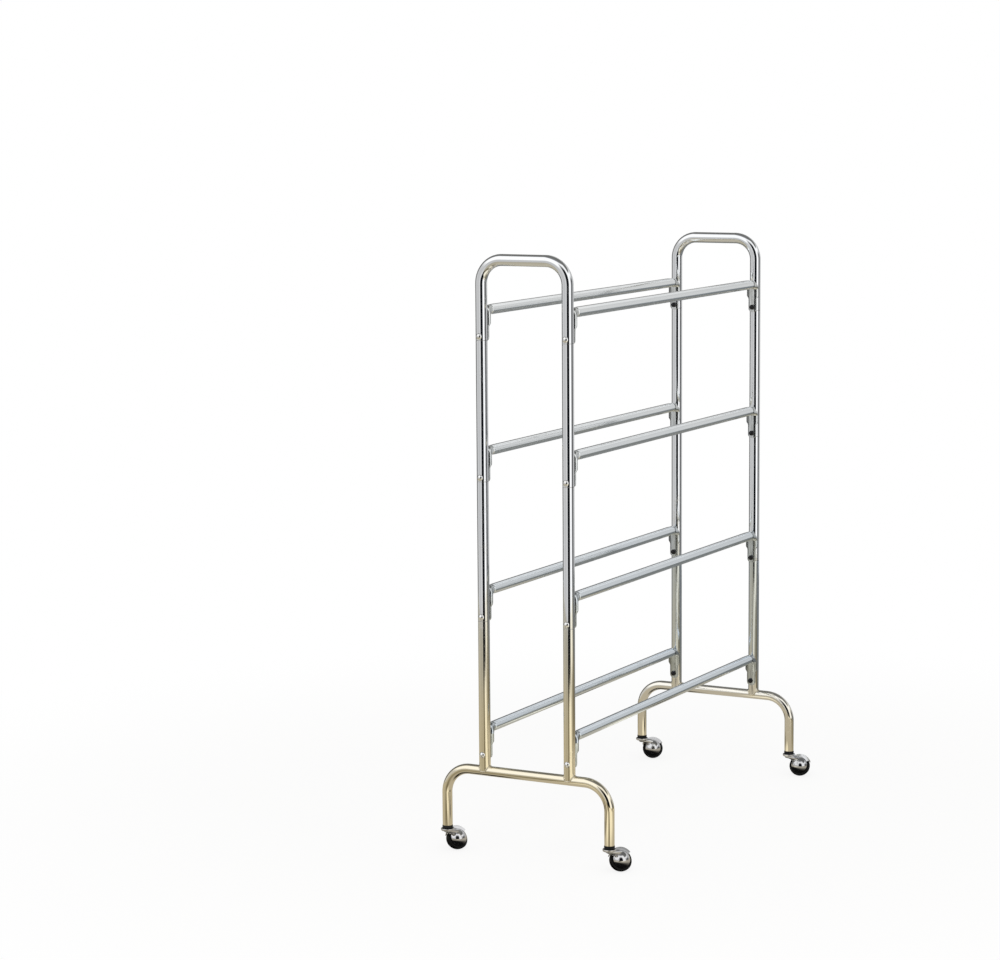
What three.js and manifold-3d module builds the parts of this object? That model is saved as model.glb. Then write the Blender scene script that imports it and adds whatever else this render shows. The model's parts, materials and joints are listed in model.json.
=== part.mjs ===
// A rolling ball cart: two bent-tube end frames, eight rails in four tiers, and four ball casters.
// Millimetres, +Z up. X runs along the rails, from the front end frame at -X to the rear one at +X.
// Y runs across, with left at +Y. The origin is on the floor, below the middle of the cart's box.
import * as THREE from "three";
import { mergeVertices } from "three/addons/utils/BufferGeometryUtils.js";
import Module from "manifold-3d";

const wasm = await Module();
wasm.setup();

// Layout of the cart
const frame_spacing = 1000;
const post_spacing = 207;
const leg_spacing = 397;
const tier_count = 4;
const tier_pitch = 305;
const first_tier_height = 284;
const hoop_rise = 109;
const base_height = 192;
const leg_end_height = 60;

// Tubes
const post_diameter = 25.4;
const post_wall = 1.5;
const base_diameter = 22.2;
const base_wall = 1.5;
const rail_diameter = 22.2;
const rail_wall = 1.4;
const hoop_bend_radius = 50.8;
const base_bend_radius = 57.2;

// Push-in joints of the posts, just below each rail
const joint_drop = 64;
const joint_gap = 0.3;
const spigot_length = 40;
const spigot_play = 0.15;
const swage_length = 4;

// Flattened rail ends, bolted to the posts' inner faces
const bolt_drop = 55;
const tab_drop = 67;
const tab_width = 30;
const tab_shoulder_drop = 27;
const tab_neck_drop = 36;
const tab_neck_width = 21.5;
const tab_tip_width = 11;
const tab_tip_length = 6;
const rail_bend_radius = 13;
const flatten_length = 26;
const seat_gap = 0.2;
const vent_diameter = 5;
const vent_inset = 14;

// Bolts and their nuts
const bolt_diameter = 6.3;
const bolt_play = 0.35;
const bolt_head_diameter = 13.4;
const bolt_head_height = 3.6;
const bolt_tip_length = 1.6;
const nut_width = 11.2;
const nut_height = 5.6;

// Caster sockets in the leg ends, and the stems that they hold
const flange_diameter = 23.4;
const flange_height = 7;
const socket_depth = 32;
const socket_play = 0.3;
const stem_diameter = 10.2;
const stem_play = 0.15;
const stem_length = 27;
const stem_point = 2;
const pivot_diameter = 8;
const running_play = 0.08;
const thrust_gap = 0.3;
const rivet_diameter = 11;
const rivet_height = 2;

// Caster hoods
const horn_diameter = 30;
const horn_thickness = 5;
const neck_diameter = 17;
const neck_height = 3.5;
const arm_width = 14;
const arm_offset = 3;
const arm_foot_rise = 12.2;
const arm_crest_rise = 22.7;
const dome_diameter = 41;
const dome_wall = 2;
const dome_inset = 5;
const fender_wall = 1.6;
const fender_play = 1.5;
const fender_reach = 9;
const boss_diameter = 13;

// Caster wheels
const ball_diameter = 50;
const caster_trail = 27;
const wheel_play = 1;
const core_diameter = 35;
const core_width = 20;
const core_lip = 1.5;
const tyre_inset = 2.6;
const tyre_grip = 0.15;
const cap_bore = 16;
const axle_diameter = 8;
const axle_depth = 11;
const axle_head_diameter = 12;
const axle_head_height = 1.6;

// Angles in degrees, counts, and the shares that shape the outlines
const wheel_tilt = 30;
const caster_headings = { front_left: -22, front_right: -37, rear_left: -57, rear_right: -82 };
const fender_spread = 62;
const tyre_half_step = 9;
const tube_sides = 12;
const bolt_sides = 8;
const hole_sides = 6;
const nut_sides = 6;
const wheel_sides = 14;
const dome_sides = 12;
const bend_steps = 3;
const dome_steps = 3;
const fender_steps = 2;
const wheel_space_steps = 4;
const tyre_steps = 3;
const flattening_shares = [0, 0.12, 0.36, 0.78, 1];
const widening_shares = [0, 0.1, 0.4, 0.78, 1];
const tab_squareness = 0.28;
const crown_width_share = 0.62;
const crown_height_share = 0.78;
const weld_distance = 1e-4;

const full_turn = Math.PI * 2;
const quarter_turn = Math.PI / 2;
const radians = THREE.MathUtils.degToRad;

// Finishes
const finish = (color, roughness, metalness) =>
  new THREE.MeshStandardMaterial({ color, roughness, metalness });
const chrome = finish(0xdde2e4, 0.12, 1);
const warm_chrome = finish(0xe2dbbd, 0.16, 1);
const pale_steel = finish(0xb4c4cd, 0.22, 1);
const bright_zinc = finish(0xd2d2cc, 0.28, 1);
const black_rubber = finish(0x141312, 0.75, 0);
const black_plastic = finish(0x1b1a19, 0.5, 0);

// Radius of the corners of a prism whose flats lie at the given radius, and the other way round
const over_flats = (radius, sides = tube_sides) => radius / Math.cos(Math.PI / sides);
const under_corners = (radius, sides = tube_sides) => radius * Math.cos(Math.PI / sides);

// Sizes that follow from the ones above
const tier_height = (tier) => first_tier_height + (tier - 1) * tier_pitch;
const joint_height = (tier) => tier_height(tier) - joint_drop;
const hoop_height = tier_height(tier_count) + hoop_rise;
const post_bore = post_diameter - 2 * post_wall;
const base_bore = base_diameter - 2 * base_wall;
const rail_bore = rail_diameter - 2 * rail_wall;
const spigot_diameter = post_bore - 2 * spigot_play;
const spigot_bore = spigot_diameter - 2 * post_wall;
const bolt_hole_diameter = bolt_diameter + 2 * bolt_play;
const tab_thickness = 2 * rail_wall;
const tab_offset = post_diameter / 2 + seat_gap + tab_thickness / 2;
const tab_reach = frame_spacing / 2 - tab_offset;
const flange_foot = leg_end_height - flange_height;
const horn_top = flange_foot - thrust_gap;
const horn_foot = horn_top - horn_thickness;
const neck_foot = horn_foot - neck_height;
const ball_radius = ball_diameter / 2;
const core_near = dome_inset - wheel_play;
const core_far = core_width - core_near;
const overrun = post_diameter;

// A closed geometry as a solid, turned to face outwards if its faces point in
function solid(geometry) {
  const bare = geometry.index ? geometry.toNonIndexed() : geometry.clone();
  bare.deleteAttribute("normal");
  bare.deleteAttribute("uv");
  const merged = mergeVertices(bare, weld_distance);
  const place = merged.attributes.position;
  const corner = [new THREE.Vector3(), new THREE.Vector3(), new THREE.Vector3()];
  const faces = [];
  let volume = 0;
  for (let i = 0; i < merged.index.count; i += 3) {
    const face = [0, 1, 2].map((k) => merged.index.getX(i + k));
    if (new Set(face).size < 3) continue;
    face.forEach((v, k) => corner[k].fromBufferAttribute(place, v));
    volume += corner[0].dot(corner[1].clone().cross(corner[2]));
    faces.push(face);
  }
  const triVerts = new Uint32Array(faces.flatMap((f) => (volume < 0 ? f.reverse() : f)));
  return new wasm.Manifold(new wasm.Mesh({ numProp: 3, vertProperties: place.array, triVerts }));
}

// A named mesh made from a solid
function piece(name, body, material) {
  const made = body.getMesh();
  const geometry = new THREE.BufferGeometry();
  geometry.setAttribute("position", new THREE.BufferAttribute(made.vertProperties, 3));
  geometry.setIndex(new THREE.BufferAttribute(made.triVerts, 1));
  const mesh = new THREE.Mesh(geometry, material);
  mesh.name = name;
  return mesh;
}

// One body from several, and one body with others cut out of it
const joined = (bodies) => bodies.reduce((all, body) => all.add(body));
const without = (body, cuts) => cuts.reduce((rest, cut) => rest.subtract(cut), body);

// A solid turned round Z from [radius, height] pairs. Its flats lie at those radii.
function turned(profile, sides = tube_sides, matrix = new THREE.Matrix4()) {
  const points = profile.map(([r, z]) => new THREE.Vector2(over_flats(r, sides), z));
  const geometry = new THREE.LatheGeometry(points, sides, Math.PI / sides);
  return solid(geometry.rotateX(quarter_turn).applyMatrix4(matrix));
}

// A plain round bar between two heights on Z
function bar(diameter, from, to, sides = tube_sides, matrix = new THREE.Matrix4()) {
  const radius = diameter / 2;
  return turned([[0, from], [radius, from], [radius, to], [0, to]], sides, matrix);
}

// A flat outline in X and Y, raised between two heights on Z
function prism(points, from, to, matrix) {
  const shape = new THREE.Shape(points.map(([x, y]) => new THREE.Vector2(x, y)));
  const geometry = new THREE.ExtrudeGeometry(shape, { depth: to - from, bevelEnabled: false });
  return solid(geometry.translate(0, 0, from).applyMatrix4(matrix));
}

// Points on a circle, as [radius, height] pairs from one angle above the middle to another
function arc(radius, from, to, steps) {
  return Array.from({ length: steps + 1 }, (_, i) => {
    const angle = THREE.MathUtils.lerp(from, to, i / steps);
    return [radius * Math.cos(angle), radius * Math.sin(angle)];
  });
}

// A path that is stepped at its own stations: close together round a bend, one step on a straight
class Route extends THREE.Curve {
  constructor(stations) {
    super();
    this.stations = stations;
  }
  station(u) {
    return this.stations[Math.round(u * (this.stations.length - 1))];
  }
  getPointAt(u) {
    return this.station(u).point.clone();
  }
  getTangentAt(u) {
    return this.station(u).tangent.clone();
  }
}

// An inverted U in the plane of Y and Z, up one leg, over the top and down the other
function arch_route(span, foot, top, bend_radius) {
  const stations = [];
  const add = (y, z, run, rise) =>
    stations.push({ point: new THREE.Vector3(0, y, z), tangent: new THREE.Vector3(0, run, rise) });
  const turns = Array.from({ length: bend_steps + 1 }, (_, i) => (quarter_turn * i) / bend_steps);
  const reach = (a) => span / 2 - bend_radius + bend_radius * Math.cos(a);
  const height = (a) => top - bend_radius + bend_radius * Math.sin(a);
  add(-span / 2, foot, 0, 1);
  for (const a of turns) add(-reach(a), height(a), Math.sin(a), Math.cos(a));
  for (const a of turns.toReversed()) add(reach(a), height(a), Math.sin(a), -Math.cos(a));
  add(span / 2, foot, 0, -1);
  return new Route(stations);
}

// A bar of the given diameter swept along a route
function swept(route, diameter) {
  const corners = Array.from({ length: tube_sides }, (_, k) => {
    const a = ((k + 0.5) * full_turn) / tube_sides;
    return new THREE.Vector2(Math.cos(a), Math.sin(a)).multiplyScalar(over_flats(diameter / 2));
  });
  const steps = route.stations.length - 1;
  const options = { steps, extrudePath: route, bevelEnabled: false };
  return solid(new THREE.ExtrudeGeometry(new THREE.Shape(corners), options));
}

// Rings of points joined into one skin, with a flat cap at each end
function loft(rings) {
  const count = rings[0].length;
  const positions = rings.flat().flatMap((p) => p.toArray());
  const faces = [];
  for (let i = 0; i + 1 < rings.length; i++) {
    for (let k = 0; k < count; k++) {
      const [a, b] = [i * count + k, i * count + ((k + 1) % count)];
      faces.push(a, b, b + count, a, b + count, a + count);
    }
  }
  const last = (rings.length - 1) * count;
  for (let k = 1; k + 1 < count; k++) faces.push(0, k + 1, k, last, last + k, last + k + 1);
  const geometry = new THREE.BufferGeometry();
  geometry.setAttribute("position", new THREE.Float32BufferAttribute(positions, 3));
  geometry.setIndex(faces);
  return solid(geometry);
}

// A hole along X for a bolt, at the given place across and up
function bolt_hole(y, z) {
  const along_x = new THREE.Matrix4().makeRotationY(quarter_turn).setPosition(0, y, z);
  return bar(bolt_hole_diameter, -overrun, overrun, hole_sides, along_x);
}

// The outside and the bore of a post that ends at a joint on top, where its end is swaged down
// into a spigot for the next post
function post_solids(foot, joint, bore_foot) {
  const [outer, inner] = [post_diameter / 2, post_bore / 2];
  const [spigot_outer, spigot_inner] = [spigot_diameter / 2, spigot_bore / 2];
  const tip = joint + spigot_length;
  const outside = turned([
    [0, foot], [outer, foot], [outer, joint - joint_gap], [spigot_outer, joint],
    [spigot_outer, tip], [0, tip],
  ]);
  const bore = turned([
    [0, bore_foot], [inner, bore_foot], [inner, joint - swage_length], [spigot_inner, joint],
    [spigot_inner, tip + overrun], [0, tip + overrun],
  ]);
  return { outside, bore };
}

// A loose post section, one tier long, standing on a joint at height zero
function post_section() {
  const { outside, bore } = post_solids(joint_gap, tier_pitch, -overrun);
  const hole = bolt_hole(0, joint_drop - bolt_drop);
  return without(outside, [bore, hole, hole.translate(0, 0, tier_pitch)]);
}

// The base weldment: the bent base tube with the two lowest posts standing on it
function base_frame() {
  const route = (foot) => arch_route(leg_spacing, foot, base_height, base_bend_radius);
  const outsides = [swept(route(leg_end_height), base_diameter)];
  const bores = [swept(route(leg_end_height - overrun), base_bore)];
  const floor = base_height + base_diameter / 2 + base_wall;
  const post = post_solids(base_height, joint_height(2), floor);
  for (const y of [-post_spacing / 2, post_spacing / 2]) {
    outsides.push(post.outside.translate(0, y, 0));
    bores.push(post.bore.translate(0, y, 0));
    bores.push(...[1, 2].map((tier) => bolt_hole(y, tier_height(tier) - bolt_drop)));
  }
  return without(joined(outsides), bores);
}

// The top hoop, which pushes down over both upper posts
function top_hoop() {
  const foot = joint_height(tier_count) + joint_gap;
  const route = (z) => arch_route(post_spacing, z, hoop_height, hoop_bend_radius);
  const bolt_height = tier_height(tier_count) - bolt_drop;
  const holes = [-post_spacing / 2, post_spacing / 2].map((y) => bolt_hole(y, bolt_height));
  const bore = swept(route(foot - overrun), post_bore);
  return without(swept(route(foot), post_diameter), [bore, ...holes]);
}

// One ring of a rail end: the place of its middle, how far it has turned down, its half sizes,
// and the power that squares it, from 1 for round towards 0 for square
function rail_ring(x, z, angle, half_width, half_thickness, power) {
  const across = new THREE.Vector3(0, half_width, 0);
  const out = new THREE.Vector3(Math.sin(angle), 0, Math.cos(angle)).multiplyScalar(half_thickness);
  const shaped = (v) => Math.sign(v) * Math.abs(v) ** power;
  return Array.from({ length: tube_sides }, (_, k) => {
    const a = ((k + 0.5) * full_turn) / tube_sides;
    const corner = new THREE.Vector3(x, 0, z);
    corner.addScaledVector(across, shaped(Math.cos(a)));
    return corner.addScaledVector(out, shaped(Math.sin(a)));
  });
}

// The rings of the rail end at +X, from the round tube out to the tab's tip
function rail_end_rings() {
  const round = over_flats(rail_diameter / 2);
  const bend_start = tab_reach - rail_bend_radius;
  const rings = [rail_ring(bend_start - flatten_length, 0, 0, round, round, 1)];
  flattening_shares.forEach((share, i) => {
    if (i === 0) return;
    const angle = (quarter_turn * (i - 1)) / (flattening_shares.length - 2);
    const x = bend_start + rail_bend_radius * Math.sin(angle);
    const z = rail_bend_radius * (Math.cos(angle) - 1);
    const half_width = THREE.MathUtils.lerp(round, tab_width / 2, widening_shares[i]);
    const half_thickness = THREE.MathUtils.lerp(round, tab_thickness / 2, share);
    const power = THREE.MathUtils.lerp(1, tab_squareness, share);
    rings.push(rail_ring(x, z, angle, half_width, half_thickness, power));
  });
  const tab = (height, width) =>
    rail_ring(tab_reach, height, quarter_turn, width / 2, tab_thickness / 2, tab_squareness);
  rings.push(tab(-tab_shoulder_drop, tab_width), tab(-tab_neck_drop, tab_neck_width));
  rings.push(tab(tab_tip_length - tab_drop, tab_neck_width), tab(-tab_drop, tab_tip_width));
  return rings;
}

// A rail: a round tube along X whose flattened ends bend down into tabs for the bolts
function rail() {
  const right = rail_end_rings();
  const left = right.map((ring) => ring.map((p) => new THREE.Vector3(-p.x, p.y, p.z)));
  const along_x = new THREE.Matrix4().makeRotationY(quarter_turn);
  const bore_end = tab_reach - rail_bend_radius - flatten_length;
  const cuts = [bar(rail_bore, -bore_end, bore_end, tube_sides, along_x)];
  for (const side of [-1, 1]) {
    const vent = new THREE.Matrix4().setPosition(side * (bore_end - vent_inset), 0, 0);
    cuts.push(bar(vent_diameter, -rail_diameter, 0, hole_sides, vent));
    cuts.push(bolt_hole(0, -bolt_drop).translate(side * tab_reach, 0, 0));
  }
  return without(loft([...left.toReversed(), ...right]), cuts);
}

// A bolt with its nut, along X: the domed head outside the post, the nut inside the tab
function bolt() {
  const [head, shank] = [bolt_head_diameter / 2, bolt_diameter / 2];
  const head_foot = -(post_diameter / 2 + seat_gap);
  const crown = head_foot - bolt_head_height;
  const rim = head_foot - bolt_head_height * crown_height_share;
  const nut_foot = tab_offset + tab_thickness / 2 + seat_gap;
  const nut_top = nut_foot + nut_height;
  const tip = nut_top + bolt_tip_length;
  const along_x = new THREE.Matrix4().makeRotationY(quarter_turn);
  const screw = turned([
    [0, crown], [head * crown_width_share, rim], [head, head_foot], [shank, head_foot],
    [shank, tip], [0, tip],
  ], bolt_sides, along_x);
  return screw.add(bar(nut_width, nut_foot, nut_top, nut_sides, along_x));
}

// A caster's plastic socket: a sleeve up inside the leg, with a flange under the leg's end
function caster_socket() {
  const [flange, sleeve] = [flange_diameter / 2, base_bore / 2 - socket_play];
  const bore = stem_diameter / 2 + stem_play;
  const top = leg_end_height + socket_depth;
  return turned([
    [bore, flange_foot], [flange, flange_foot], [flange, leg_end_height - socket_play],
    [sleeve, leg_end_height - socket_play], [sleeve, top], [bore, top], [bore, flange_foot],
  ]);
}

// A caster's stem: pressed into the socket, with the pivot that the hood turns on riveted below it
function caster_stem() {
  const [stem, rivet] = [stem_diameter / 2, rivet_diameter / 2];
  const pivot = under_corners(pivot_diameter / 2);
  const rivet_top = neck_foot - thrust_gap;
  const rivet_foot = rivet_top - rivet_height;
  const tip = flange_foot + stem_length;
  return turned([
    [0, rivet_foot], [rivet - rivet_height / 2, rivet_foot], [rivet, rivet_top],
    [pivot, rivet_top], [pivot, flange_foot], [stem, flange_foot], [stem, tip - stem_point],
    [stem - stem_point, tip], [0, tip],
  ]);
}

// Places what is drawn round Z on a caster's tilted axle, with its middle in the ball's middle
const axle_place = new THREE.Matrix4()
  .makeRotationX(-quarter_turn - radians(wheel_tilt))
  .setPosition(caster_trail, 0, ball_radius);

// A slice of a ball round the axle, between two distances from its middle along the axle
function ball_slice(radius, near, far, steps) {
  const outline = arc(radius, Math.asin(near / radius), Math.asin(far / radius), steps);
  return turned([[0, near], ...outline, [0, far]], dome_sides, axle_place);
}

// A caster's hood: the horn under the leg, the arm, the hollow dome on the wheel's inner side,
// and the fender over the tyre
function caster_hood() {
  const horn = bar(horn_diameter, horn_foot, horn_top);
  const neck = bar(neck_diameter, neck_foot, horn_foot);
  const neck_radius = neck_diameter / 2;
  const arm_top = horn_top - horn_thickness / 2;
  const arm_foot = ball_radius + arm_foot_rise;
  const side_on = new THREE.Matrix4().makeRotationX(quarter_turn);
  const arm = prism([
    [-neck_radius, arm_top], [-neck_radius, neck_foot], [neck_radius, arm_foot],
    [caster_trail, arm_foot], [caster_trail, ball_radius + arm_crest_rise],
    [horn_diameter / 2, arm_top],
  ], arm_offset - arm_width / 2, arm_offset + arm_width / 2, side_on);
  const dome_radius = dome_diameter / 2;
  const dome = ball_slice(dome_radius, -dome_radius, 0, dome_steps);
  const hollow_radius = dome_radius - dome_wall;
  const hollow = ball_slice(hollow_radius, -hollow_radius, 0, dome_steps);
  const inside = ball_radius + fender_play;
  const half_step = (quarter_turn + Math.asin(dome_inset / inside)) / wheel_space_steps / 2;
  const clear_of_tyre = inside / Math.cos(half_step);
  const wheel_space = ball_slice(clear_of_tyre, -dome_inset, inside, wheel_space_steps);
  const web = -dome_inset - fender_wall;
  const fender_ball = ball_slice(inside + fender_wall, web, fender_reach, fender_steps);
  const edge = [Math.sin(radians(fender_spread)), -Math.cos(radians(fender_spread))];
  const [x, y] = edge.map((v) => v * ball_diameter);
  const wedge_outline = [[0, 0], [x, y], [x, -ball_diameter], [-x, -ball_diameter], [-x, y]];
  const wedge = prism(wedge_outline, -ball_diameter, ball_diameter, axle_place);
  const shell = joined([horn, neck, arm, dome, fender_ball.intersect(wedge)]);
  const boss_foot = -core_near - thrust_gap;
  const boss = bar(boss_diameter, -hollow_radius, boss_foot, tube_sides, axle_place);
  const axle_hole = axle_diameter + 2 * tyre_grip;
  const axle_end = boss_foot - axle_depth - thrust_gap;
  return without(without(shell, [wheel_space, hollow]).add(boss), [
    bar(pivot_diameter + 2 * running_play, neck_foot - overrun, horn_top + overrun),
    bar(rivet_diameter + 2 * wheel_play, neck_foot - overrun, neck_foot),
    bar(axle_hole, axle_end, ball_radius, tube_sides, axle_place),
  ]);
}

// A caster's axle: pressed into the hood's boss, with a head that keeps the wheel on
function caster_axle() {
  const [pin, head] = [under_corners(axle_diameter / 2), axle_head_diameter / 2];
  const end = -core_near - thrust_gap - axle_depth;
  const head_foot = core_far + thrust_gap;
  const head_top = head_foot + axle_head_height;
  const profile = [[0, end], [pin, end], [pin, head_foot], [head, head_foot], [head, head_top]];
  return turned([...profile, [0, head_top]], tube_sides, axle_place);
}

// A caster wheel's core, with a lip that keeps the tyre in place
function wheel_core() {
  const [bore, rim] = [axle_diameter / 2 + running_play, core_diameter / 2];
  const [near, lip_end] = [-core_near, -tyre_inset - tyre_grip];
  return turned([
    [bore, near], [rim + core_lip, near], [rim + core_lip, lip_end], [rim, lip_end],
    [rim, core_far], [bore, core_far], [bore, near],
  ], wheel_sides, axle_place);
}

// A caster's tyre: the outer half of the ball. One of its facets lies flat on the floor.
function tyre() {
  const half_step = radians(tyre_half_step);
  const contact = radians(wheel_tilt);
  const reach = tyre_steps * half_step;
  const radius = ball_radius / Math.cos(half_step);
  const outline = arc(radius, contact - reach, contact + reach, tyre_steps);
  const [equator, cap_height] = [outline[0][0], outline.at(-1)[1]];
  const [inner, floor] = [core_diameter / 2 + tyre_grip, core_far + tyre_grip];
  return turned([
    [inner, -tyre_inset], [equator, -tyre_inset], ...outline, [cap_bore / 2, cap_height],
    [cap_bore / 2, floor], [inner, floor], [inner, -tyre_inset],
  ], wheel_sides, axle_place);
}

// The cart's repeated solids, each made once
const sections = { base: base_frame(), post: post_section(), hoop: top_hoop() };
const rail_solid = rail();
const bolt_solid = bolt();
const fixed_caster_pieces = [
  ["caster_socket", caster_socket(), black_plastic],
  ["caster_stem", caster_stem(), bright_zinc],
];
const turning_caster_pieces = [
  ["caster_hood", caster_hood(), chrome],
  ["caster_axle", caster_axle(), bright_zinc],
  ["wheel_core", wheel_core(), black_plastic],
  ["tyre", tyre(), black_rubber],
];

const cart = new THREE.Group();

// The two end frames face each other, so the rear one is turned half round
const ends = [["front", -1, 0], ["rear", 1, Math.PI]];
for (const [end, end_side, turn] of ends) {
  const frame = new THREE.Group();
  frame.position.x = (end_side * frame_spacing) / 2;
  frame.rotation.z = turn;
  frame.add(piece(`${end}_base_frame`, sections.base, warm_chrome));
  frame.add(piece(`${end}_top_hoop`, sections.hoop, chrome));
  for (const [side, across] of [["left", 1], ["right", -1]]) {
    const y = (-end_side * across * post_spacing) / 2;
    for (const [level, tier] of [["lower", 2], ["upper", 3]]) {
      const post = piece(`${end}_${side}_${level}_post`, sections.post, chrome);
      post.position.set(0, y, joint_height(tier));
      frame.add(post);
    }
    for (let tier = 1; tier <= tier_count; tier++) {
      const fastener = piece(`tier_${tier}_${end}_${side}_bolt`, bolt_solid, bright_zinc);
      fastener.position.set(0, y, tier_height(tier) - bolt_drop);
      frame.add(fastener);
    }
  }
  cart.add(frame);
}

// The rails of each tier
for (let tier = 1; tier <= tier_count; tier++) {
  for (const [side, across] of [["left", 1], ["right", -1]]) {
    const mesh = piece(`tier_${tier}_${side}_rail`, rail_solid, pale_steel);
    mesh.position.set(0, (across * post_spacing) / 2, tier_height(tier));
    cart.add(mesh);
  }
}

// A caster under each leg, each trailing its own way
for (const [end, end_side] of ends) {
  for (const [side, across] of [["left", 1], ["right", -1]]) {
    const corner = `${end}_${side}`;
    const caster = new THREE.Group();
    caster.position.set((end_side * frame_spacing) / 2, (across * leg_spacing) / 2, 0);
    for (const [part, body, material] of fixed_caster_pieces) {
      caster.add(piece(`${corner}_${part}`, body, material));
    }
    const swivel = new THREE.Group();
    swivel.rotation.z = radians(caster_headings[corner]);
    for (const [part, body, material] of turning_caster_pieces) {
      swivel.add(piece(`${corner}_${part}`, body, material));
    }
    caster.add(swivel);
    cart.add(caster);
  }
}

// The origin goes below the middle of the cart's box
const middle = new THREE.Box3().setFromObject(cart, true).getCenter(new THREE.Vector3());
cart.position.set(-middle.x, -middle.y, 0);

export default cart;
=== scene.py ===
"""A rolling ball cart in chromed tube on ball casters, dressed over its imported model."""
import json
import math

import bmesh
import bpy
from mathutils import Matrix, Vector


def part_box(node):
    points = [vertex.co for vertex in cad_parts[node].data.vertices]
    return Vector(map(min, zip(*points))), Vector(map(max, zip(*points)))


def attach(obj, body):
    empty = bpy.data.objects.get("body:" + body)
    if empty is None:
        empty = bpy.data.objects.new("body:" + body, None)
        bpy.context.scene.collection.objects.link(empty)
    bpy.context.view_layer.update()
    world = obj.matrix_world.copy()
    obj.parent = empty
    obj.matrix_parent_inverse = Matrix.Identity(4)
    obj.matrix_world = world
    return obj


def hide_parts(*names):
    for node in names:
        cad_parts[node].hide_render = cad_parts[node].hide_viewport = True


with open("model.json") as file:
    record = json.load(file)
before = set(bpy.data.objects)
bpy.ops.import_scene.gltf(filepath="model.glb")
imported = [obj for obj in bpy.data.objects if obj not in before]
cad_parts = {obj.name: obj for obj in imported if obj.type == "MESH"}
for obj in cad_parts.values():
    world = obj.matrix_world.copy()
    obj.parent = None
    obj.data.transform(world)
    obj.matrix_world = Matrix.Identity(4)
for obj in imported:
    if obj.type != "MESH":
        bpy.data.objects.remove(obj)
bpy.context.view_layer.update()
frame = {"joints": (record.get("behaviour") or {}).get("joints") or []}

# Tubes, in metres
POST_RADIUS = 0.0127
POST_WALL = 0.0015
TUBE_RADIUS = 0.0111
TUBE_WALL = 0.0014
BASE_HEIGHT = 0.192
BASE_BEND = 0.0572
HOOP_BEND = 0.0508
SPIGOT_LENGTH = 0.040
SPIGOT_RADIUS = 0.01105
WALL_DEPTH = 0.010
TUBE_SIDES = 48
BEND_STEPS = 20
RIM_ROUND = 0.0005

# Rail ends
TAB_THICKNESS = 0.0028
SHOULDER_HALF_WIDTH = 0.015
SHOULDER_DROP = 0.027
NECK_DROP = 0.036
TAB_HALF_WIDTH = 0.01075
TAB_CORNER = 0.009
TAB_POWER = 0.3  # a power below 1 squares off a ring
TAB_PLACE = 1.3  # where the tab is flat, on a scale from -1 at the round tube to 1 on the bend
RAIL_BEND = 0.013
FLATTEN_LENGTH = 0.026
FLATTEN_STEPS = 6
RAIL_BEND_STEPS = 12
TAB_CORNER_STEPS = 6
RAIL_SIDES = 48

# Bolts
BOLT_RADIUS = 0.00315
BOLT_HEAD_RADIUS = 0.0067
BOLT_HEAD_HEIGHT = 0.0036
NUT_HALF_WIDTH = 0.0056
NUT_HEIGHT = 0.0056
BOLT_TIP = 0.0016
SEAT_GAP = 0.0002
NUT_FOOT = 2 * POST_RADIUS + TAB_THICKNESS + 3 * SEAT_GAP
HEAD_STEPS = 8
THREADS = 2
THREAD_ROOT = 0.9
TIP_TAPER = 0.8
BOLT_STEPS = 32
CAP_SINK = 0.0002
CAP_RADIUS = 1.5 * BOLT_RADIUS
CAP_RISE = BOLT_TIP + 0.0012
CAP_STEPS = 24

# Weld beads
BEAD_RADIUS = 0.0017
BEAD_RIPPLE = 0.14
BEAD_POINTS = 96
BEAD_RIPPLES = 30
BEAD_RESOLUTION = 3

# Casters: heights are from the floor, but those of the dome, fender, core, tyre and axle run
# along the axle from the ball's middle
FLANGE_RADIUS = 0.0117
FLANGE_HEIGHT = 0.007
FLANGE_FOOT = 0.053
SLEEVE_RADIUS = 0.0093
SOCKET_BORE = 0.00525
SOCKET_ROUND = 0.0006
STEM_RADIUS = 0.0051
STEM_CHAMFER = 0.002
RIVET_RADIUS = 0.0055
RIVET_ROOM_RADIUS = 0.0065
RIVET_ROOM_FOOT = 0.02
PIVOT_HOLE_TOP = 0.06
HORN_TOP = 0.0527
HORN_RADIUS = 0.015
HORN_THICKNESS = 0.005
HORN_ROUND = 0.0012
NECK_RADIUS = 0.0085
NECK_HEIGHT = 0.0035
NECK_FOOT = HORN_TOP - HORN_THICKNESS - NECK_HEIGHT
DOME_RADIUS = 0.0205
DOME_WALL = 0.002
DOME_HOLLOW = DOME_RADIUS - DOME_WALL
DOME_INSET = 0.005
DOME_STEPS = 28
HOLLOW_STEPS = 24
CAVITY_END = -0.2  # an angle from the axle's level
CAVITY_STEPS = 20
BALL_RADIUS = 0.025
FENDER_PLAY = 0.0015
FENDER_WALL = 0.0016
FENDER_REACH = 0.009
FENDER_SPREAD = math.radians(62)
FENDER_RINGS = 16
FENDER_STEPS = 40
WHEEL_SPACE = BALL_RADIUS + FENDER_PLAY
THIN_ROUND = 0.0004
BOSS_RADIUS = 0.0065
BOSS_SINK = 0.0005
BOSS_EDGE = 0.0007
ARM_OFFSET = -0.003
ARM_POWER = 0.7
ARM_ROUND = 0.0008
ARM_SIDES = 32
ARM_RINGS = [  # place along X, height, half width, half thickness
    (-0.0085, 0.0468, 0.0055, 0.0022), (-0.006, 0.0464, 0.0075, 0.0032),
    (0.0, 0.0462, 0.0082, 0.0040), (0.007, 0.0452, 0.0080, 0.0050),
    (0.014, 0.0440, 0.0076, 0.0060), (0.021, 0.0425, 0.0070, 0.0064),
    (0.027, 0.0410, 0.0060, 0.0058),
]
CORE_RADIUS = 0.0175
CORE_NEAR = -0.004
CORE_FAR = 0.016
CORE_LIP = 0.0015
TYRE_PLAY = 0.00015
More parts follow.
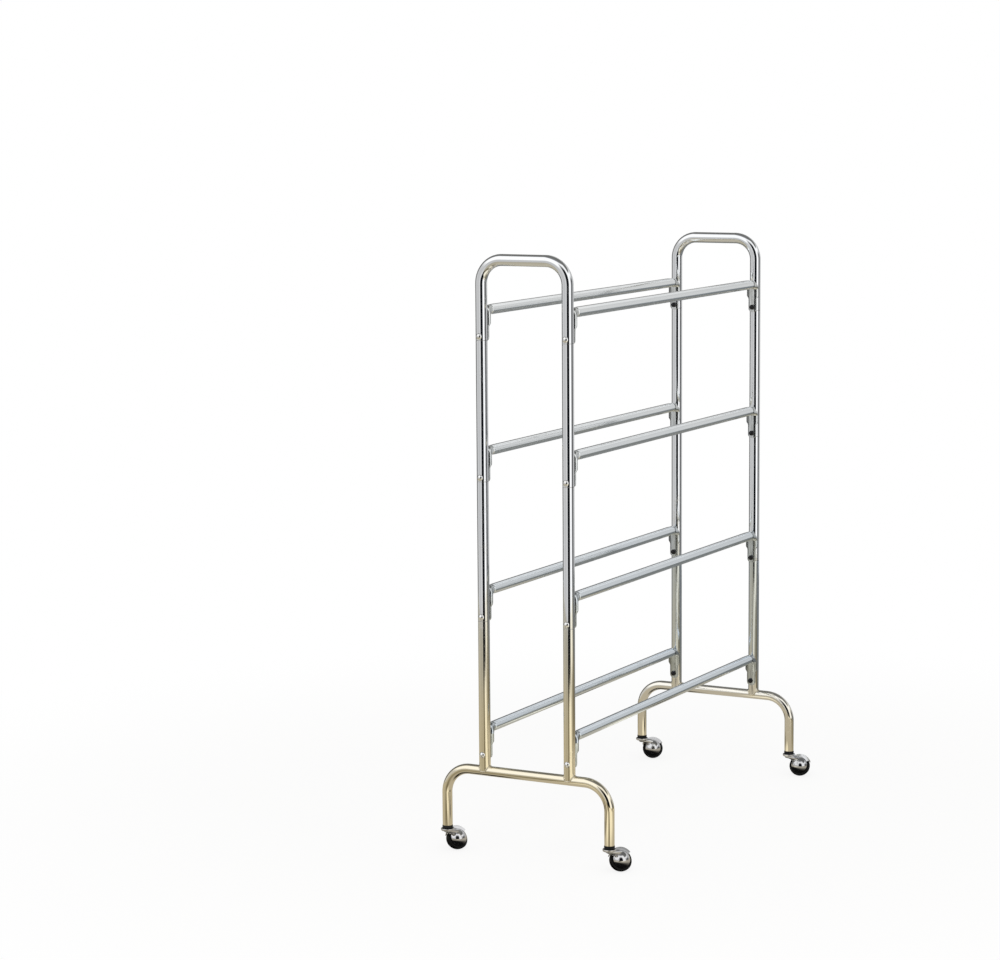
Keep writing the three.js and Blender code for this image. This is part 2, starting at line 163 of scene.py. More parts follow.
TYRE_ROUND = 0.0007
TYRE_STEPS = 96
TYRE_NEAR = -0.0026
TYRE_CAP = 0.0207
TYRE_RINGS = 40
CAP_BORE = 0.008
AXLE_RADIUS = 0.004
AXLE_BORE = AXLE_RADIUS + 0.0001
AXLE_HEAD_RADIUS = 0.006
AXLE_HEAD_HEIGHT = 0.0016
AXLE_DEPTH = 0.011
AXLE_TILT = math.radians(30)
TRAIL = 0.027
THRUST_GAP = 0.0003
BOSS_FOOT = CORE_NEAR - THRUST_GAP
TURN_STEPS = 64

ENDS = ("front", "rear")
SIDES = ("left", "right")
TIERS = (1, 2, 3, 4)
SHARP_ANGLE = math.radians(32)
STEEP_ANGLE = math.radians(50)


def centre(node):
    """Middle of a CAD node's box."""
    low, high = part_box(node)
    return (low + high) / 2


# Mesh helpers

def loose_rim(made):
    """The edges in made that only one face meets."""
    return [e for e in made if isinstance(e, bmesh.types.BMEdge) and e.is_boundary]


def rim_verts(edges):
    """The points of a rim, each once and always in the same order."""
    return list(dict.fromkeys(v for e in edges for v in e.verts))


def circle(bm, radius, place, sides=TUBE_SIDES):
    """A ring of edges round the place's Z axis."""
    made = bmesh.ops.create_circle(bm, cap_ends=False, radius=radius, segments=sides, matrix=place)
    return list(dict.fromkeys(e for v in made["verts"] for e in v.link_edges))


def extruded(bm, edges, move=(0, 0, 0)):
    """Draws a rim out by a vector, and returns the new rim."""
    made = bmesh.ops.extrude_edge_only(bm, edges=edges)["geom"]
    verts = [v for v in made if isinstance(v, bmesh.types.BMVert)]
    bmesh.ops.translate(bm, verts=verts, vec=move)
    return loose_rim(made)


def bent(bm, edges, middle, axis, angle, steps=BEND_STEPS):
    """Draws a rim round a bend, and returns the new rim."""
    geom = rim_verts(edges) + edges
    made = bmesh.ops.spin(
        bm, geom=geom, cent=middle, axis=axis, dvec=(0, 0, 0), angle=angle, steps=steps,
        use_merge=False, use_duplicate=False,
    )
    return [e for e in made["geom_last"] if isinstance(e, bmesh.types.BMEdge)]


def rim_scaled(bm, edges, factor):
    """Scales a rim about its own middle."""
    verts = rim_verts(edges)
    middle = sum((v.co for v in verts), Vector()) / len(verts)
    bmesh.ops.scale(bm, verts=verts, vec=(factor,) * 3, space=Matrix.Translation(-middle))


def closed_end(bm, edges, radius, wall, inward):
    """Ends a tube with its wall's rim and a blind bore that runs the given way."""
    inner = extruded(bm, edges)
    rim_scaled(bm, inner, (radius - wall) / radius)
    floor = extruded(bm, inner, inward)
    bmesh.ops.holes_fill(bm, edges=floor, sides=0)


def softened(bm, width, segments=2, angle=SHARP_ANGLE):
    """Rounds every edge that is sharper than the angle."""
    edges = [e for e in bm.edges if e.is_manifold and e.calc_face_angle(0.0) > angle]
    bmesh.ops.bevel(
        bm, geom=edges, offset=width, offset_type="OFFSET", affect="EDGES",
        segments=segments, profile=0.5, material=-1, clamp_overlap=True,
    )


def turned(bm, profile, steps=TURN_STEPS):
    """Turns a chain of (radius, height) points round Z. The chain ends on the axis or closes."""
    verts = [bm.verts.new((r, 0, z)) for r, z in profile]
    edges = [bm.edges.new(pair) for pair in zip(verts, verts[1:])]
    if profile[0][0] > 0:
        edges.append(bm.edges.new((verts[-1], verts[0])))
    bmesh.ops.spin(
        bm, geom=verts + edges, cent=(0, 0, 0), axis=(0, 0, 1), dvec=(0, 0, 0),
        angle=math.tau, steps=steps, use_merge=True, use_duplicate=False,
    )
    bmesh.ops.remove_doubles(bm, verts=bm.verts[:], dist=1e-6)
    bmesh.ops.recalc_face_normals(bm, faces=bm.faces[:])


def arc(radius, start, end, steps):
    """Points on a circle round the origin, as (across, up) pairs."""
    angles = [start + (end - start) * i / steps for i in range(steps + 1)]
    return [(radius * math.cos(a), radius * math.sin(a)) for a in angles]


def squared(turn, power):
    """A point round the unit circle, squared off by a power below 1."""
    across, up = math.cos(turn), math.sin(turn)
    return math.copysign(abs(across) ** power, across), math.copysign(abs(up) ** power, up)


def skinned(rings, sides, point):
    """A closed form through rings, whose points a function places from their angle and ring."""
    bm = bmesh.new()
    turn = bm.verts.layers.float.new("turn")
    rim = circle(bm, 1.0, Matrix.Identity(4), sides)
    for v in rim_verts(rim):
        v[turn] = math.atan2(v.co.y, v.co.x)
    start = rim
    for i, ring in enumerate(rings):
        if i > 0:
            rim = extruded(bm, rim)
        for v in rim_verts(rim):
            v.co = point(v[turn], ring)
    bmesh.ops.holes_fill(bm, edges=start + rim, sides=0)
    return bm


def mesh_of(bm, name):
    """A mesh from a bmesh, shaded smooth up to its sharp edges."""
    bmesh.ops.recalc_face_normals(bm, faces=bm.faces[:])
    mesh = bpy.data.meshes.new(name)
    bm.to_mesh(mesh)
    bm.free()
    mesh.shade_smooth()
    mesh.set_sharp_from_angle(angle=SHARP_ANGLE)
    return mesh


def show(name, mesh, body, material, slot, *nodes, place=None):
    """Makes a piece of the cart from a mesh, put in its place, riding on a body."""
    mesh = mesh.copy()
    mesh.name = name
    if place is not None:
        mesh.transform(place)
    mesh.materials.clear()
    mesh.materials.append(material)
    piece = bpy.data.objects.new(name, mesh)
    bpy.context.scene.collection.objects.link(piece)
    evened = piece.modifiers.new("even_shading", "WEIGHTED_NORMAL")
    evened.keep_sharp = True
    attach(piece, body)
    if nodes:
        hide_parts(*nodes)


# Material helpers

def node_group(name, inputs, outputs):
    """An empty shader node group with the named vector inputs and value outputs."""
    group = bpy.data.node_groups.new(name, "ShaderNodeTree")
    for label in inputs:
        group.interface.new_socket(label, in_out="INPUT", socket_type="NodeSocketVector")
    for label in outputs:
        group.interface.new_socket(label, in_out="OUTPUT", socket_type="NodeSocketFloat")
    return group, group.nodes.new("NodeGroupInput"), group.nodes.new("NodeGroupOutput")


def add(tree, kind, links=None, **values):
    """A node with its inputs set or linked, and its plain settings set by name."""
    node = tree.nodes.new(kind)
    for name, value in values.items():
        setattr(node, name, value)
    for socket, value in (links or {}).items():
        if isinstance(value, bpy.types.NodeSocket):
            tree.links.new(value, node.inputs[socket])
        else:
            node.inputs[socket].default_value = value
    return node


def math_node(tree, operation, a, b=0.0, clamp=False):
    return add(tree, "ShaderNodeMath", {0: a, 1: b}, operation=operation, use_clamp=clamp).outputs[0]


def product(tree, a, b):
    return math_node(tree, "MULTIPLY", a, b)


def vector_node(tree, operation, a, b=(0.0, 0.0, 0.0)):
    """Vector maths: a length or distance is a value, and the rest are vectors."""
    node = add(tree, "ShaderNodeVectorMath", {0: a, 1: b}, operation=operation)
    return node.outputs["Value" if operation in ("LENGTH", "DISTANCE") else "Vector"]


def axes(tree, vector):
    """The outputs X, Y and Z of a vector."""
    return add(tree, "ShaderNodeSeparateXYZ", {"Vector": vector}).outputs


def ranged(tree, value, low, high, to_low=0.0, to_high=1.0):
    """Maps a value between two limits, smoothly, and keeps it between them."""
    links = {"Value": value, "From Min": low, "From Max": high, "To Min": to_low, "To Max": to_high}
    return add(tree, "ShaderNodeMapRange", links, interpolation_type="SMOOTHSTEP").outputs["Result"]


def mixed(tree, factor, first, second, blend="MIX"):
    node = tree.nodes.new("ShaderNodeMix")
    node.data_type = "RGBA"
    node.blend_type = blend
    for socket, value in ((node.inputs[0], factor), (node.inputs[6], first), (node.inputs[7], second)):
        if isinstance(value, bpy.types.NodeSocket):
            tree.links.new(value, socket)
        else:
            socket.default_value = value
    return node.outputs[2]


def noise(tree, coords, scale, detail=3.0, stretch=None):
    """Noise on the object's own coordinates, which can be stretched along an axis."""
    if stretch is not None:
        mapping = add(tree, "ShaderNodeMapping", {"Vector": coords, "Scale": stretch})
        coords = mapping.outputs["Vector"]
    links = {"Vector": coords, "Scale": scale, "Detail": detail, "Roughness": 0.55}
    return add(tree, "ShaderNodeTexNoise", links).outputs["Fac"]


def make_plating_marks():
    """Marks on plated steel: a haze of handling, fine rub lines, and small pits."""
    group, _, out = node_group("plating_marks", (), ("Haze", "Rub", "Pits"))
    coords = add(group, "ShaderNodeTexCoord").outputs["Object"]
    patches = noise(group, coords, 14.0, 5.0)
    prints = noise(group, coords, 95.0, 4.0)
    haze = product(group, ranged(group, patches, 0.48, 0.72), ranged(group, prints, 0.35, 0.7))
    lines = noise(group, coords, 60.0, 2.0, (26.0, 26.0, 1.2))
    rub = ranged(group, lines, 0.6, 0.74)
    dots = add(group, "ShaderNodeTexVoronoi", {"Vector": coords, "Scale": 420.0}).outputs["Distance"]
    pits = product(group, ranged(group, dots, 0.16, 0.05), ranged(group, patches, 0.6, 0.75))
    for label, value in (("Haze", haze), ("Rub", rub), ("Pits", pits)):
        group.links.new(value, out.inputs[label])
    return group


PLATING_MARKS = make_plating_marks()


def new_material(name):
    """A material with its node tree, its shader and the object's own coordinates."""
    material = bpy.data.materials.new(name)
    material.use_nodes = True
    tree = material.node_tree
    shader = tree.nodes["Principled BSDF"]
    coords = add(tree, "ShaderNodeTexCoord").outputs["Object"]
    return material, tree, shader, coords


# Tints are multiplied into a plating's colour
DRIFT_TINT = (0.9, 0.93, 0.96, 1.0)
PIT_TINT = (0.45, 0.4, 0.34, 1.0)
# Painted shade: the pressed rail ends are darkened in streaks, in place of their dark reflections
PRESSED_PAINTED_SHADE = (0.58, 0.58, 0.56, 1.0)
# How much lower the foot's colour, a painted warm reflection, ends at the rear, in metres
REAR_LIFT = 0.22
# Where a rail's pressed end starts, in metres from the rail's middle
PRESSED_FROM = 0.465
# How steeply the crown of a pressed end falls away, for each metre across
CROWN = 36.0


def footed(tree, coords, tone, foot, low, high, rear_tint):
    """A plating's colour over its foot's, which takes over below a height. With a tint for the rear,
    the foot ends lower there and the posts above it are tinted. Both feet in use are painted: a warm
    floor reflection on the lowest chrome, with a cooler rear tint, and shade on the rails."""
    place = axes(tree, coords)
    if rear_tint is None:
        return mixed(tree, ranged(tree, place["Z"], low, high), (*foot, 1.0), tone)
    lift = ranged(tree, place["X"], -0.3, 0.4, 0.0, REAR_LIFT)
    height = math_node(tree, "ADD", place["Z"], lift)
    tone = mixed(tree, ranged(tree, height, low, high), (*foot, 1.0), tone)
    posts = product(tree, ranged(tree, place["X"], 0.3, 0.45), ranged(tree, place["Z"], 0.2, 0.32))
    return mixed(tree, posts, tone, (*rear_tint, 1.0), "MULTIPLY")


def pressed_ends(tree, coords):
    """Two masks for the rails' pressed ends: their dullness, which also carries painted shade, and the
    height of their crown.
    """
    rails = [centre(f"tier_1_{side}_rail") for side in SIDES]
    middle = (rails[0] + rails[1]) / 2
    folded = axes(tree, vector_node(tree, "ABSOLUTE", vector_node(tree, "SUBTRACT", coords, middle)))
    across = math_node(tree, "SUBTRACT", folded["Y"], abs(rails[0].y - rails[1].y) / 2)
    pressed = ranged(tree, folded["X"], PRESSED_FROM, PRESSED_FROM + RAIL_BEND / 2)
    streaks = ranged(tree, noise(tree, coords, 42.0, 3.0, (1.0, 9.0, 1.0)), 0.3, 0.7, 0.3, 1.0)
    crown = product(tree, product(tree, across, across), -CROWN)
    return product(tree, pressed, streaks), product(tree, pressed, crown)


def plated(name, color, roughness, peel, foot=None, low=0.0, high=1.0, rear_tint=None, pressed=False):
    """Plated steel. Peel is the height of the soft waves in the plate."""
    material, tree, shader, coords = new_material(name)
    marks = tree.nodes.new("ShaderNodeGroup")
    marks.node_tree = PLATING_MARKS
    haze, rub, pits = (marks.outputs[label] for label in ("Haze", "Rub", "Pits"))
    tone = (*color, 1.0)
    if foot is not None:
        tone = footed(tree, coords, tone, foot, low, high, rear_tint)
    drift = ranged(tree, noise(tree, coords, 5.0, 2.0), 0.35, 0.65, 0.0, 0.3)
    tone = mixed(tree, drift, tone, DRIFT_TINT, "MULTIPLY")
    tone = mixed(tree, pits, tone, PIT_TINT, "MULTIPLY")
    rough = product(tree, haze, 0.16)
    heights = math_node(tree, "SUBTRACT", noise(tree, coords, 130.0, 2.0), product(tree, pits, 2.0))
    heights = product(tree, heights, peel * 0.5)
    if pressed:
        # The pressed ends are rougher and darker by painted shade in their colour; their crown is a
        # bump
        dull_and_shade, crown = pressed_ends(tree, coords)
        tone = mixed(tree, dull_and_shade, tone, PRESSED_PAINTED_SHADE, "MULTIPLY")
        rough = math_node(tree, "ADD", rough, product(tree, dull_and_shade, 0.06))
        heights = math_node(tree, "ADD", heights, crown)
    rough = math_node(tree, "ADD", rough, product(tree, rub, 0.1))
    rough = math_node(tree, "ADD", rough, roughness, clamp=True)
    tree.links.new(tone, shader.inputs["Base Color"])
    tree.links.new(rough, shader.inputs["Roughness"])
    bump = add(tree, "ShaderNodeBump", {"Height": heights, "Strength": 1.0, "Distance": 1.0})
    tree.links.new(bump.outputs["Normal"], shader.inputs["Normal"])
    shader.inputs["Metallic"].default_value = 1.0
    return material


def moulded(name, color, dust, roughness, grain, grain_scale):
    """Moulded plastic or rubber, with a fine grain and pale dust in soft patches."""
    material, tree, shader, coords = new_material(name)
    patches = noise(tree, coords, 55.0, 5.0)
    specks = noise(tree, coords, 900.0, 2.0)
    dusty = product(tree, ranged(tree, patches, 0.5, 0.75), ranged(tree, specks, 0.45, 0.7))
    tree.links.new(mixed(tree, dusty, (*color, 1.0), (*dust, 1.0)), shader.inputs["Base Color"])
    rough = math_node(tree, "ADD", product(tree, dusty, 0.25), roughness, clamp=True)
    tree.links.new(rough, shader.inputs["Roughness"])
    bump = add(tree, "ShaderNodeBump", {
        "Height": noise(tree, coords, grain_scale, 3.0), "Strength": 0.6, "Distance": grain,
    })
    tree.links.new(bump.outputs["Normal"], shader.inputs["Normal"])
    shader.inputs["Specular IOR Level"].default_value = 0.13
    return material


CHROME = (0.9, 0.91, 0.92)
# Painted reflection: the warm floor's reflection, as a colour that the lowest chrome takes on towards
# the floor
PAINTED_WARM_REFLECTION = (0.93, 0.85, 0.67)
# Painted reflection: a cooler tint multiplied into the rear lowest posts
COOL_TINT = (0.86, 0.91, 0.97)
bright_chrome = plated("bright_chrome", CHROME, roughness=0.05, peel=0.00002)
# Chrome whose colour carries a painted warm floor reflection low down, which fades out with height
warm_chrome = plated(
    "warm_chrome", CHROME, roughness=0.07, peel=0.00003,
    foot=PAINTED_WARM_REFLECTION, low=0.2, high=0.62, rear_tint=COOL_TINT,
)
# Painted shade: the rails' colour turns darker and bluer towards the lower tiers
pale_steel = plated(
    "pale_steel", (0.98, 1.0, 1.0), roughness=0.12, peel=0.00003,
    foot=(0.8, 0.86, 0.91), low=0.25, high=1.15, pressed=True,
)
zinc_plate = plated("zinc_plate", (0.9, 0.9, 0.89), roughness=0.16, peel=0.00006)
black_plate = plated("black_plate", (0.035, 0.035, 0.038), roughness=0.3, peel=0.00006)
hood_chrome = plated("hood_chrome", (0.68, 0.68, 0.69), roughness=0.06, peel=0.00002)
weld_metal = plated("weld_metal", (0.74, 0.67, 0.52), roughness=0.22, peel=0.0001)
socket_plastic = moulded(
    "socket_plastic", (0.008, 0.008, 0.009), dust=(0.09, 0.085, 0.08),
    roughness=0.4, grain=0.00006, grain_scale=1400.0,
)
core_plastic = moulded(
    "core_plastic", (0.03, 0.03, 0.032), dust=(0.14, 0.13, 0.12),
    roughness=0.5, grain=0.00006, grain_scale=1400.0,
)
tyre_rubber = moulded(
    "tyre_rubber", (0.004, 0.004, 0.004), dust=(0.05, 0.048, 0.045),
    roughness=0.45, grain=0.00009, grain_scale=1800.0,
)


# Tubes

def arch_mesh(name, x, low_y, high_y, foot, top, bend_radius, radius, wall):
    """An inverted U of tube in the plane of Y and Z, from one foot to the other."""
    bm = bmesh.new()
    reach = top - bend_radius - foot
    start = circle(bm, radius, Matrix.Translation((x, low_y, foot)))
    rim = extruded(bm, start, (0, 0, reach))
    rim = bent(bm, rim, (x, low_y + bend_radius, top - bend_radius), (-1, 0, 0), math.pi / 2)
    rim = extruded(bm, rim, (0, high_y - low_y - 2 * bend_radius, 0))
    rim = bent(bm, rim, (x, high_y - bend_radius, top - bend_radius), (-1, 0, 0), math.pi / 2)
    rim = extruded(bm, rim, (0, 0, -reach))
    closed_end(bm, start, radius, wall, (0, 0, WALL_DEPTH))
    closed_end(bm, rim, radius, wall, (0, 0, WALL_DEPTH))
    softened(bm, RIM_ROUND)
    return mesh_of(bm, name)


def post_mesh(name, x, y, foot, joint, saddle=False):
    """A post with a spigot above its joint. A saddled post sits round the base tube."""
    bm = bmesh.new()
    start = circle(bm, POST_RADIUS, Matrix.Translation((x, y, foot)))
    rim = extruded(bm, start, (0, 0, joint - foot))
    if saddle:
        for v in rim_verts(start):
            across = min(abs(v.co.x - x), TUBE_RADIUS)
            v.co.z += math.sqrt(TUBE_RADIUS ** 2 - across ** 2)
    shoulder = extruded(bm, rim)
    rim_scaled(bm, shoulder, SPIGOT_RADIUS / POST_RADIUS)
    tip = extruded(bm, shoulder, (0, 0, SPIGOT_LENGTH))
    closed_end(bm, tip, SPIGOT_RADIUS, POST_WALL, (0, 0, -WALL_DEPTH))
    closed_end(bm, start, POST_RADIUS, POST_WALL, (0, 0, WALL_DEPTH))
    softened(bm, RIM_ROUND)
    return mesh_of(bm, name)


def saddle_bead_mesh(name, x, y):
    """The weld bead where a lowest post stands on the base tube, with its small ripples."""
    curve = bpy.data.curves.new(name, "CURVE")
    curve.dimensions = "3D"
    curve.bevel_depth = BEAD_RADIUS
    curve.bevel_resolution = BEAD_RESOLUTION
    curve.use_fill_caps = False
    line = curve.splines.new("POLY")
    line.points.add(BEAD_POINTS - 1)
    line.use_cyclic_u = True
    for i, point in enumerate(line.points):
        a = math.tau * i / BEAD_POINTS
        across, along = POST_RADIUS * math.cos(a), POST_RADIUS * math.sin(a)
        inside = min(abs(across), TUBE_RADIUS)
        up = BASE_HEIGHT + math.sqrt(TUBE_RADIUS ** 2 - inside ** 2)
        point.co = (x + across, y + along, up, 1.0)
        point.radius = 1.0 + BEAD_RIPPLE * math.cos(a * BEAD_RIPPLES)
    holder = bpy.data.objects.new(name, curve)
    bpy.context.scene.collection.objects.link(holder)
    mesh = bpy.data.meshes.new_from_object(holder.evaluated_get(bpy.context.evaluated_depsgraph_get()))
    bpy.data.objects.remove(holder)
    mesh.shade_smooth()
    return mesh


def build_end_frame(end):
    """The base weldment, the post sections and the top hoop of one end."""
    base, hoop = f"{end}_base_frame", f"{end}_top_hoop"
    low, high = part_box(base)
    x = centre(hoop).x
    arch = arch_mesh(
        base, x, low.y + TUBE_RADIUS, high.y - TUBE_RADIUS, low.z, BASE_HEIGHT, BASE_BEND,
        TUBE_RADIUS, TUBE_WALL,
    )
    show(f"{end}_base_tube", arch, "frame", warm_chrome, "warm_chrome", base)
    for side in SIDES:
        y = centre(f"{end}_{side}_lower_post").y
        joint = high.z - SPIGOT_LENGTH
        lowest = post_mesh("lowest_post", x, y, BASE_HEIGHT, joint, saddle=True)
        show(f"{end}_{side}_lowest_post", lowest, "frame", warm_chrome, "warm_chrome")
        bead = saddle_bead_mesh("saddle_bead", x, y)
        show(f"{end}_{side}_saddle_weld", bead, "frame", weld_metal, "warm_chrome")
        for level in ("lower", "upper"):
            node = f"{end}_{side}_{level}_post"
            foot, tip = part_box(node)
            section = post_mesh("post_section", x, y, foot.z, tip.z - SPIGOT_LENGTH)
            show(f"{end}_{side}_{level}_tube", section, "frame", bright_chrome, "bright_chrome", node)
    low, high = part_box(hoop)
    arch = arch_mesh(
        hoop, x, low.y + POST_RADIUS, high.y - POST_RADIUS, low.z, high.z - POST_RADIUS,
        HOOP_BEND, POST_RADIUS, POST_WALL,
    )
    show(f"{end}_hoop_tube", arch, "frame", bright_chrome, "bright_chrome", hoop)


# Rails

def eased(value, table):
    """Reads a table of (place, share) pairs, with a smooth step between each two."""
    for (a, low), (b, high) in zip(table, table[1:]):
        if value <= b:
            t = max(0.0, (value - a) / (b - a))
            return low + (high - low) * t * t * (3 - 2 * t)
    return table[-1][1]


def rail_stations(reach):
    """Rings of one rail end at +X, each as (x, z, angle, half width, half thickness, power)."""
    bend_start = reach - RAIL_BEND
    tab = TAB_THICKNESS / 2
    flat_table = [(-1.0, 0.0), (0.0, 0.12), (1.0, 0.97), (TAB_PLACE, 1.0)]
    wide_table = [(-1.0, 0.0), (0.0, 0.1), (1.0, 0.9), (TAB_PLACE, 1.0)]
    rings = []

    def add_ring(x, z, angle, place):
        flat, wide = eased(place, flat_table), eased(place, wide_table)
        thickness = TUBE_RADIUS + (tab - TUBE_RADIUS) * flat
        if angle > 0:
            thickness = min(thickness, (RAIL_BEND + tab) / math.sin(angle) - RAIL_BEND)
        width = TUBE_RADIUS + (SHOULDER_HALF_WIDTH - TUBE_RADIUS) * wide
        rings.append((x, z, angle, width, thickness, 1.0 + (TAB_POWER - 1.0) * flat))

    for i in range(FLATTEN_STEPS):
        share = i / FLATTEN_STEPS
        add_ring(bend_start - FLATTEN_LENGTH * (1 - share), 0.0, 0.0, share - 1.0)
    for i in range(RAIL_BEND_STEPS + 1):
        angle = math.pi / 2 * i / RAIL_BEND_STEPS
        x = bend_start + RAIL_BEND * math.sin(angle)
        z = RAIL_BEND * (math.cos(angle) - 1)
        add_ring(x, z, angle, TAB_PLACE * i / RAIL_BEND_STEPS)
    return rings


def rail_point(turn, ring):
    """A point of a ring, at an angle round it."""
    x, z, angle, width, thickness, power = ring
    across, out = squared(turn, power)
    out *= thickness
    return Vector((x + out * math.sin(angle), across * width, z + out * math.cos(angle)))


def rail_mesh(reach, drop):
    """A round tube along X whose flattened ends bend down and narrow into round-ended tabs."""
    right = rail_stations(reach)
    tab_ring = right[-1]
    for i in range(TAB_CORNER_STEPS + 1):
        share = i / TAB_CORNER_STEPS
        width = eased(share, [(0.0, SHOULDER_HALF_WIDTH), (1.0, TAB_HALF_WIDTH)])
        z = -SHOULDER_DROP + (SHOULDER_DROP - NECK_DROP) * share
        right.append((tab_ring[0], z, math.pi / 2, width, *tab_ring[4:]))
    for i in range(TAB_CORNER_STEPS + 1):
        angle = math.pi / 2 * i / TAB_CORNER_STEPS
        width = TAB_HALF_WIDTH - TAB_CORNER * (1 - math.cos(angle))
        z = -drop + TAB_CORNER * (1 - math.sin(angle))
        right.append((tab_ring[0], z, math.pi / 2, width, *tab_ring[4:]))
    left = [(-x, z, -angle, *rest) for x, z, angle, *rest in right]
    bm = skinned(left[::-1] + right, RAIL_SIDES, rail_point)
    softened(bm, RIM_ROUND, angle=STEEP_ANGLE)
    return mesh_of(bm, "rail")


def build_rails():
    """The two rails of every tier, from one mesh."""
    low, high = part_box("tier_1_left_rail")
    reach = (high.x - low.x) / 2 - TAB_THICKNESS / 2
    mesh = rail_mesh(reach, high.z - low.z - TUBE_RADIUS)
    for tier in TIERS:
        for side in SIDES:
            node = f"tier_{tier}_{side}_rail"
            middle = centre(node)
            middle.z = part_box(node)[1].z - TUBE_RADIUS
            show(
                f"tier_{tier}_{side}_tube", mesh, "frame", pale_steel, "pale_steel", node,
                place=Matrix.Translation(middle),
            )


# Bolts

def screw_mesh():
    """A domed bolt along Z, from the foot of its head at the origin."""
    bm = bmesh.new()
    tip = NUT_FOOT + NUT_HEIGHT + BOLT_TIP
    swell = (BOLT_HEAD_RADIUS ** 2 + BOLT_HEAD_HEIGHT ** 2) / (2 * BOLT_HEAD_HEIGHT)
    spread = math.asin(BOLT_HEAD_RADIUS / swell)
    turns = [spread * i / HEAD_STEPS for i in range(HEAD_STEPS + 1)]
    crown = [
        (swell * math.sin(turn), swell - BOLT_HEAD_HEIGHT - swell * math.cos(turn)) for turn in turns
    ]
    crown[0] = (0.0, crown[0][1])
    pitch = BOLT_TIP / THREADS
    threads = []
    for i in range(THREADS):
        foot = tip - BOLT_TIP + i * pitch
        threads += [(BOLT_RADIUS * THREAD_ROOT, foot), (BOLT_RADIUS, foot + pitch / 2)]
    shank = [(BOLT_RADIUS, 0.0), *threads, (BOLT_RADIUS * TIP_TAPER, tip), (0.0, tip)]
    turned(bm, crown + shank, BOLT_STEPS)
    return mesh_of(bm, "screw")


def nut_mesh():
    """A black cap nut, closed over the bolt's end."""
    bm = bmesh.new()
    top = NUT_FOOT + NUT_HEIGHT - CAP_SINK
    turns = [math.pi / 12 * i for i in range(6)]
    cap = [(CAP_RADIUS * math.cos(turn), top + CAP_RISE * math.sin(turn)) for turn in turns]
    turned(bm, [(0.0, top), *cap, (0.0, top + CAP_RISE)], CAP_STEPS)
    corner_radius = NUT_HALF_WIDTH / math.cos(math.pi / 6)
    bmesh.ops.create_cone(
        bm, cap_ends=True, segments=6, radius1=corner_radius, radius2=corner_radius, depth=NUT_HEIGHT,
        matrix=Matrix.Translation((0, 0, NUT_FOOT + NUT_HEIGHT / 2)),
    )
    softened(bm, RIM_ROUND)
    return mesh_of(bm, "nut")


def build_bolts():
    """A screw and its nut through each rail end, with the nut on the inner side."""
    screw, nut = screw_mesh(), nut_mesh()
    for end, turn in (("front", 1), ("rear", -1)):
        for tier in TIERS:
            for side in SIDES:
                node = f"tier_{tier}_{end}_{side}_bolt"
                middle = centre(node)
                middle.x = centre(f"{end}_top_hoop").x - turn * (POST_RADIUS + SEAT_GAP)
                place = Matrix.Translation(middle) @ Matrix.Rotation(turn * math.pi / 2, 4, "Y")
                name = f"tier_{tier}_{end}_{side}"
                show(f"{name}_screw", screw, "frame", zinc_plate, "zinc_plate", node, place=place)
                show(f"{name}_nut", nut, "frame", black_plate, "zinc_plate", node, place=place)


# Casters

def socket_mesh():
    """The plastic socket: a sleeve in the leg and a flange under it."""
    bm = bmesh.new()
    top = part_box("front_left_caster_socket")[1].z
    step = FLANGE_FOOT + FLANGE_HEIGHT - THRUST_GAP
    turned(bm, [
        (SOCKET_BORE, FLANGE_FOOT), (FLANGE_RADIUS, FLANGE_FOOT), (FLANGE_RADIUS, step),
        (SLEEVE_RADIUS, step), (SLEEVE_RADIUS, top), (SOCKET_BORE, top),
    ])
    softened(bm, SOCKET_ROUND, 3)
    return mesh_of(bm, "socket")


def stem_mesh():
    """The stem, with the riveted pivot below it that the hood turns on."""
    bm = bmesh.new()
    low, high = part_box("front_left_caster_stem")
    rivet_top = NECK_FOOT - THRUST_GAP
    rivet = arc(RIVET_RADIUS, -math.pi / 2, 0, 6)
    flat = [(r, rivet_top + z * (rivet_top - low.z) / RIVET_RADIUS) for r, z in rivet]
    flat[0] = (0.0, low.z)
    turned(bm, [
        *flat, (AXLE_RADIUS, rivet_top), (AXLE_RADIUS, FLANGE_FOOT), (STEM_RADIUS, FLANGE_FOOT),
        (STEM_RADIUS, high.z - STEM_CHAMFER), (STEM_RADIUS - STEM_CHAMFER, high.z), (0.0, high.z),
    ])
    return mesh_of(bm, "stem")


def holder_of(bm, name):
    """A scratch object for a boolean cut."""
    holder = bpy.data.objects.new(name, mesh_of(bm, name))
    bpy.context.scene.collection.objects.link(holder)
    return holder


def carved(bm, cutters):
    """A bmesh with the cutters' solids taken out of it."""
    base = holder_of(bm, "carved")
    for cutter in cutters:
        step = base.modifiers.new("cut", "BOOLEAN")
        step.operation = "DIFFERENCE"
        step.solver = "EXACT"
        step.object = cutter
    bpy.context.view_layer.update()
    evaluated = base.evaluated_get(bpy.context.evaluated_depsgraph_get())
    result = bmesh.new()
    result.from_mesh(evaluated.to_mesh())
    evaluated.to_mesh_clear()
    bpy.data.objects.remove(base)
    return result


def ball_profile(radius, low, high, steps):
    """A ball's outline between two heights."""
    return arc(radius, math.asin(low / radius), math.asin(high / radius), steps)


